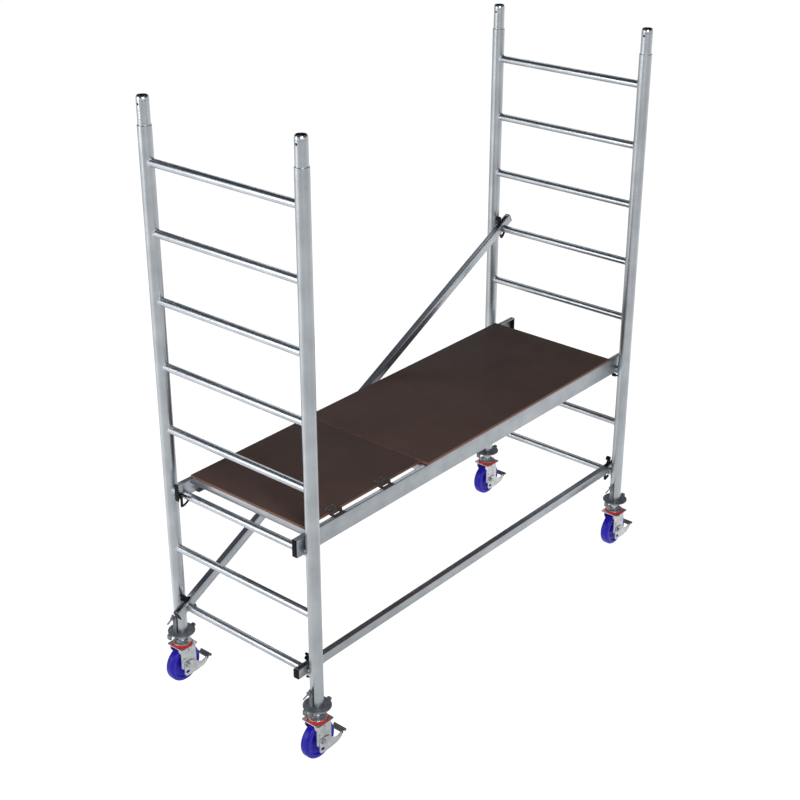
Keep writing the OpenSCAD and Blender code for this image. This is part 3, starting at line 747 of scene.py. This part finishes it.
def on_axle(obj):
    """Takes a piece drawn about the Z axis to the wheel's axle."""
    turn(obj, 90, "X")
    return move(obj, axle_x, 0, axle_z)


def wheel():
    """Solid wheel: rounded tread, stepped sides and a hub."""
    half = 19.0
    tread_r = 75.0
    side_round = 11.0
    half_profile = [(9.05, 22.0), (20.6, 22.0), (22.0, 20.6), (22.4, 14.5), (24.5, 12.4),
                    (50.5, 12.0), (53.5, 13.2), (56.5, 18.2), (58.5, 19.0)]
    for step in range(7):
        angle = math.radians(90 - 15 * step)
        half_profile.append((tread_r - side_round + side_round * math.cos(angle),
                             half - side_round + side_round * math.sin(angle)))
    half_profile += [(tread_r, 1.0), (tread_r, 0.4)]
    mirrored = [(radius, -height) for radius, height in reversed(half_profile)]
    return on_axle(lathe("wheel", half_profile + mirrored, steps=112))


def axle():
    """Hex bolt with washers, its nut and the spacer tube in the hub."""
    parts = [lathe("shank", [(0, -36.6), (4.8, -36.6), (6.0, -35.4), (6.0, 35.4), (4.8, 36.6),
                             (0, 36.6)], steps=32)]
    for side in (-1, 1):
        head = rod("head", 10.0, (0, 0, side * 30.8), (0, 0, side * 36.0), sides=6)
        parts.append(soften(head, 0.9, 3))
        low, high = sorted((side * 29.6, side * 30.8))
        parts.append(soften(lathe("washer", [(5.5, low), (11.4, low), (11.4, high),
                                             (5.5, high)], steps=40), 0.3))
    parts.append(lathe("spacer", [(5.0, -23.0), (9.0, -23.0), (9.0, 23.0), (5.0, 23.0)],
                       steps=40))
    return on_axle(join(*parts))


def fork():
    """Pressed fork: two legs with a bent front lip, under a square crown plate."""
    leg_outline = [(-42.5, 159.5), (42.5, 159.5), (42.5, 63.0), (12.0, 55.0), (-20.0, 55.0),
                   (-30.0, 65.0), (-30.0, 129.0), (-42.5, 146.0)]
    leg_y = 24.5
    leg_wall = 3.0
    holes = [(28.0, 77.0, 5.0), (-19.0, 108.0, 3.0), (5.5, 140.0, 3.0)]
    parts = []
    for side in (-1, 1):
        leg = plate("leg", leg_outline, leg_wall, corner=6.0, rounding=5)
        y = side * leg_y
        move(leg, 0, y, 0)
        for x, z, radius in holes:
            cut(leg, rod("hole", radius, (x, y - 5, z), (x, y + 5, z)))
        parts.append(soften(leg, 0.7))
        inner, outer = sorted((side * 20.2, side * 26.0))
        lip = block("lip", (-33.0, inner, 66.0), (-29.6, outer, 128.0))
        parts.append(soften(lip, 1.3, 3))
    crown_half = 42.5
    crown_wall = 4.0
    crown_middle_z = 161.0
    pin_hole_r = 9.0
    square = [(-crown_half, -crown_half), (crown_half, -crown_half),
              (crown_half, crown_half), (-crown_half, crown_half)]
    crown = plate("crown", square, crown_wall, corner=7.0, rounding=6)
    turn(crown, 90, "X")
    move(crown, 0, 0, crown_middle_z)
    cut(crown, rod("hole", pin_hole_r, (0, 0, 150), (0, 0, 170)))
    parts.append(soften(crown, 1.1, 3))
    parts.append(lathe("race", [(pin_hole_r, 155.0), (27.0, 155.0), (30.0, 156.2),
                                (31.5, 159.4), (pin_hole_r, 159.4)], steps=64))
    return join(*parts)


def seal_ring():
    """Dust ring between the fork crown and the head plate."""
    return lathe("seal_ring", [
        (14.0, 163.0), (39.0, 163.0), (39.8, 163.8), (39.8, 168.2), (39.2, 169.6),
        (37.8, 170.3), (35.4, 170.3), (34.6, 169.4), (14.0, 169.4)], steps=80)


def swivel_head():
    """Head plate of the spindle, its king pin and the plain neck under the thread."""
    head = lathe("head", [
        (0, 170.8), (34.6, 170.8), (35.8, 171.6), (35.8, 172.8), (34.8, 173.8),
        (31.4, 174.2), (28.6, 174.3), (27.4, 174.6), (25.5, 175.0), (19.5, 175.0),
        (17.6, 176.0), (17.0, 177.6), (17.0, 184.0), (16.0, 185.2), (0, 185.2)], steps=80)
    pin = lathe("pin", [(0, 153.2), (11.6, 153.2), (12.8, 154.4), (12.8, 157.6),
                        (11.6, 158.6), (8.0, 158.6), (8.0, 171.0), (0, 171.0)], steps=48)
    return join(head, pin)


def threaded_rod():
    """Spindle: a core with a real helical thread, hollow at its top."""
    core_r = 15.6
    crest_r = 17.0
    pitch = 8.0
    turns = 21
    steps_per_turn = 40
    start = 185.5
    foot = 185.0
    top = 436.0
    bore_r = 12.0
    bore_from = 225.0
    core = lathe("core", [(0, foot), (core_r, foot), (core_r, top - 1.2), (core_r - 1.0, top),
                          (bore_r, top), (bore_r, bore_from), (0, bore_from)], steps=48)
    ridge = draw("ridge", [(core_r - 0.8, 0, start), (core_r, 0, start + 0.2),
                           (crest_r, 0, start + 1.5), (crest_r, 0, start + 4.0),
                           (core_r, 0, start + 5.3), (core_r - 0.8, 0, start + 5.5)])
    bpy.ops.object.mode_set(mode="OBJECT")
    modifier = ridge.modifiers.new("thread", "SCREW")
    modifier.screw_offset = pitch * MM
    modifier.iterations = turns
    modifier.steps = steps_per_turn
    modifier.render_steps = steps_per_turn
    modifier.use_merge_vertices = False
    apply_modifier(ridge, modifier)
    bpy.ops.object.mode_set(mode="EDIT")
    merge_points()
    bpy.ops.mesh.select_all(action="DESELECT")
    bpy.ops.mesh.select_non_manifold()
    bpy.ops.mesh.edge_face_add()
    face_outwards()
    return join(core, ridge)


def neck_nut():
    """Hexagon lock nut on the spindle's neck, just above the head plate."""
    nut = rod("neck_nut", 24.5, (0, 0, 175.2), (0, 0, 182.4), sides=6)
    cut(nut, rod("bore", 17.1, (0, 0, 170), (0, 0, 190), sides=48))
    soften(nut, 1.0, 3)
    return turn(nut, 15, "Z")


def spindle_nut():
    """Disc nut with a boss below it, one lug turned up and one turned down."""
    disc = lathe("disc", [
        (17.05, 206.0), (22.8, 206.0), (24.0, 207.2), (24.0, 213.0), (25.2, 216.4),
        (28.0, 218.0), (51.2, 218.0), (53.0, 219.4), (53.0, 222.4), (51.4, 224.0),
        (17.05, 224.0)], steps=96)
    raised = soften(block("raised", (48.0, -18.0, 218.2), (59.0, 0.0, 230.0)), 3.2, 4)
    lowered = soften(block("lowered", (-60.0, 0.0, 202.0), (-49.0, 18.0, 223.8)), 3.2, 4)
    return join(disc, raised, lowered)


def wing_screw():
    """Stem, collar and two swept wings with rounded lobes."""
    stem = lathe("stem", [(0, -46.0), (2.6, -46.0), (3.0, -45.6), (3.0, -21.0), (2.2, -20.0),
                          (0, -20.0)], steps=24)
    collar = soften(lathe("collar", [(2.5, -48.0), (7.0, -48.0), (7.0, -37.2),
                                     (2.5, -37.2)], steps=40), 1.2, 3)
    for part in (stem, collar):
        turn(part, 90, "Y")
    parts = [stem, collar]
    lobe_x = -52.0
    lobe_z = 29.0
    lobe_r = 5.6
    for side in (1, -1):
        outline = [(-38.2, 1.0)]
        for step in range(8):
            angle = math.radians(-30 + 30 * step)
            outline.append((lobe_x + lobe_r * math.cos(angle),
                            lobe_z + lobe_r * math.sin(angle)))
        outline.append((-45.8, 1.0))
        wing = plate("wing", outline, 4.8)
        soften(wing, 1.6, 3, angle=40)
        if side < 0:
            turn(wing, 180, "X")
        parts.append(wing)
    made = join(*parts)
    turn(made, 30, "X")
    return move(made, 0, 0, post_bottom + 70.0)


def brake_arms():
    """Two cranked arms outside the fork, each with a slanted slot."""
    outline = [(-20, -38), (-12, -48), (8, -50), (42, -50), (78, -46), (99, -34), (106, -22),
               (96, -12), (82, -19), (66, -20), (52, -10), (32, 8), (14, 14), (-12, 14),
               (-18, 0)]
    arm_y = 28.0
    arm_wall = 3.0
    bore_r = 6.1
    parts = []
    for side in (-1, 1):
        arm = plate("arm", outline, arm_wall, corner=5.0, rounding=5)
        slot = plate("slot", [(-14.3, -29.9), (-8.4, -24.9), (-0.6, -24.9), (8.3, -32.1),
                              (2.4, -37.1), (-5.4, -37.1)], 12.0, corner=2.0)
        cut(arm, slot)
        cut(arm, rod("bore", bore_r, (0, -6, 0), (0, 6, 0)))
        soften(arm, 0.7)
        parts.append(move(arm, axle_x, side * arm_y, axle_z))
    return join(*parts)


def brake_pedal():
    """Foot pedal across the wheel: a ribbed plate rolled over a bar with round ends."""
    pedal = soften(block("pedal", (96.0, -26.0, 51.0), (116.0, 26.0, 58.0)), 2.4, 4)
    bar = rod("bar", 5.6, (116.0, -30.5, 55.4), (116.0, 30.5, 55.4), sides=40)
    parts = [pedal, soften(bar, 3.4, 5, clamp=False)]
    rib_count = 5
    first_rib = 98.5
    ribbed_length = 12.0
    rib_half = 0.9
    for rib in range(rib_count):
        x = first_rib + rib * (ribbed_length / (rib_count - 1))
        ridge = block("ridge", (x - rib_half, -23.0, 57.0), (x + rib_half, 23.0, 60.0))
        parts.append(soften(ridge, 0.7, 2))
    for side in (-1, 1):
        inner, outer = sorted((side * 23.4, side * 29.5))
        ear = block("ear", (92.5, inner, 47.4), (104.0, outer, 60.5))
        parts.append(soften(ear, 2.4, 4))
    return join(*parts)


def make_castors():
    """Each piece is made once and copied under the four posts."""
    sets = [
        (wheel(), "tyred_wheel", "wheel", wheel_plastic, "blue_wheel", "wheel"),
        (axle(), "axle_bolt", "castor", bolt_zinc, "bolt_steel", "axle"),
        (fork(), "pressed_fork", "castor", zinc, "zinc_steel", "fork"),
        (seal_ring(), "dust_ring", "castor", red_plastic, "red_plastic", "seal_ring"),
        (swivel_head(), "swivel_head", "spindle", zinc, "zinc_steel", None),
        (threaded_rod(), "threaded_rod", "spindle", zinc, "zinc_steel", "spindle"),
        (neck_nut(), "neck_nut", "spindle", bolt_zinc, "bolt_steel", None),
        (spindle_nut(), "disc_nut", "spindle_nut", nut_coat, "dark_steel", "spindle_nut"),
        (wing_screw(), "winged_screw", "wing_screw", nut_coat, "dark_steel", "wing_screw"),
        (brake_arms(), "brake_arms", "brake", zinc, "zinc_steel", "brake_lever"),
        (brake_pedal(), "brake_pedal", "brake", pedal_plastic, "black_plastic", None),
    ]
    for piece, name, body, material, slot, node in sets:
        for c in CASTORS:
            made = copy_of(piece, post_at[c].x, post_at[c].y)
            nodes = [f"{c}_{node}"] if node else []
            finish_piece(made, f"{c}_{name}", f"{c}_{body}", material, slot, *nodes)
        bpy.data.objects.remove(piece)
    finish_piece(from_cad("nut_retainers", 0.4), "nut_retainer_flanges", ROOT, retainer_coat,
                 "dark_steel", "nut_retainers")


# ------------------------------------------------------------------ camera, light and floor

def make_camera():
    """A camera above and outside the bay's near left corner, looking down at it."""
    data = bpy.data.cameras.new("camera")
    data.sensor_width = 36.0
    data.lens = 67.5
    data.shift_y = -0.03
    camera = bpy.data.objects.new("camera", data)
    bpy.context.scene.collection.objects.link(camera)
    bay_middle = (post_at["near_left"].x + post_at["near_right"].x) / 2 * MM
    left_of_bay = 4.124      # metres from the middle of the bay
    before_bay = 3.421
    height = 3.574
    yaw = 40.31              # degrees
    pitch = 25.06
    camera.location = (bay_middle - left_of_bay, -before_bay, height)
    camera.rotation_euler = (math.radians(90 - pitch), 0, math.radians(yaw - 90))
    bpy.context.scene.camera = camera


def add_light(name, place, target, size, power):
    """A soft box aimed at a point, in metres and watts."""
    data = bpy.data.lights.new(name, "AREA")
    data.shape = "RECTANGLE"
    data.size, data.size_y = size
    data.energy = power
    light = bpy.data.objects.new(name, data)
    bpy.context.scene.collection.objects.link(light)
    light.location = place
    aim = Vector(target) - Vector(place)
    light.rotation_euler = aim.to_track_quat("-Z", "Y").to_euler()


def studio_paper():
    """White paper lit from below: plain to the eye, with pale bands for the metal to mirror."""
    paper = Finish("studio_paper", (0.4, 0.4, 0.4), 0.9)
    fleck = paper.noise(paper.points, 3.0)
    paper.feed("Roughness", paper.between(fleck, 0.85, 0.95))
    around = paper.node("ShaderNodeTexGradient", gradient_type="RADIAL")
    paper.tree.links.new(paper.points, around.inputs["Vector"])
    bands = paper.ramp(around.outputs["Fac"], (0.0, 0.62), (0.07, 0.5), (0.2, 0.5),
                       (0.34, 0.66), (0.42, 0.8), (0.5, 1.0), (0.56, 0.6), (0.8, 0.6),
                       (0.84, 1.0), (0.9, 1.0), (0.95, 0.62))
    seen = paper.node("ShaderNodeLightPath").outputs["Is Camera Ray"]
    glow = paper.node("ShaderNodeMixRGB")
    paper.tree.links.new(seen, glow.inputs["Fac"])
    paper.tree.links.new(bands, glow.inputs["Color1"])
    glow.inputs["Color2"].default_value = (0.97, 0.97, 0.97, 1)
    paper.feed("Emission Color", glow.outputs["Color"])
    paper.shader.inputs["Emission Strength"].default_value = 1.0
    return paper.material


def make_studio():
    """White room with three soft boxes and a pale floor; the metal mirrors it darker overhead.

    The floor is as low as the legs reach, so that it hides no wheel of an extended leg.
    """
    leg_reach = 121.0        # travel of a leg, and 1 to spare
    floor_size = 60          # metres
    white = (1.0, 1.0, 1.0, 1)
    overhead = (0.055, 0.065, 0.08, 1)
    world = bpy.data.worlds.new("studio")
    bpy.context.scene.world = world
    world.use_nodes = True
    tree = world.node_tree
    background = tree.nodes["Background"]
    background.inputs["Strength"].default_value = 1.0
    where = tree.nodes.new("ShaderNodeTexCoord")
    split = tree.nodes.new("ShaderNodeSeparateXYZ")
    shade = tree.nodes.new("ShaderNodeValToRGB")
    tree.links.new(where.outputs["Generated"], split.inputs["Vector"])
    tree.links.new(split.outputs["Z"], shade.inputs["Fac"])
    seen = tree.nodes.new("ShaderNodeLightPath").outputs["Is Camera Ray"]
    walls = tree.nodes.new("ShaderNodeMixRGB")
    tree.links.new(seen, walls.inputs["Fac"])
    tree.links.new(shade.outputs["Color"], walls.inputs["Color1"])
    walls.inputs["Color2"].default_value = white
    tree.links.new(walls.outputs["Color"], background.inputs["Color"])
    low, high = shade.color_ramp.elements
    low.position = 0.02
    low.color = white
    high.position = 0.17
    high.color = overhead
    add_light("key", (-3.5, -4.5, 4.2), (0, 0, 1.0), (2.5, 2.5), 200)
    add_light("fill", (-5.0, 2.5, 2.6), (0, 0, 1.0), (2.0, 3.0), 80)
    add_light("rim", (4.5, 4.5, 5.5), (0, 0, 1.2), (3.0, 2.0), 40)
    bpy.ops.object.select_all(action="DESELECT")
    bpy.ops.mesh.primitive_plane_add(size=floor_size, location=(0, 0, -leg_reach * MM))
    floor = bpy.context.object
    floor.name = "studio_floor"
    floor.data.materials.append(studio_paper())
    bpy.context.scene.view_settings.view_transform = "Standard"


make_camera()
make_studio()
make_posts()
make_spigots()
make_rungs()
make_welds()
make_platform()
make_hinges()
make_locks()
make_grips()
make_bars()
make_castors()
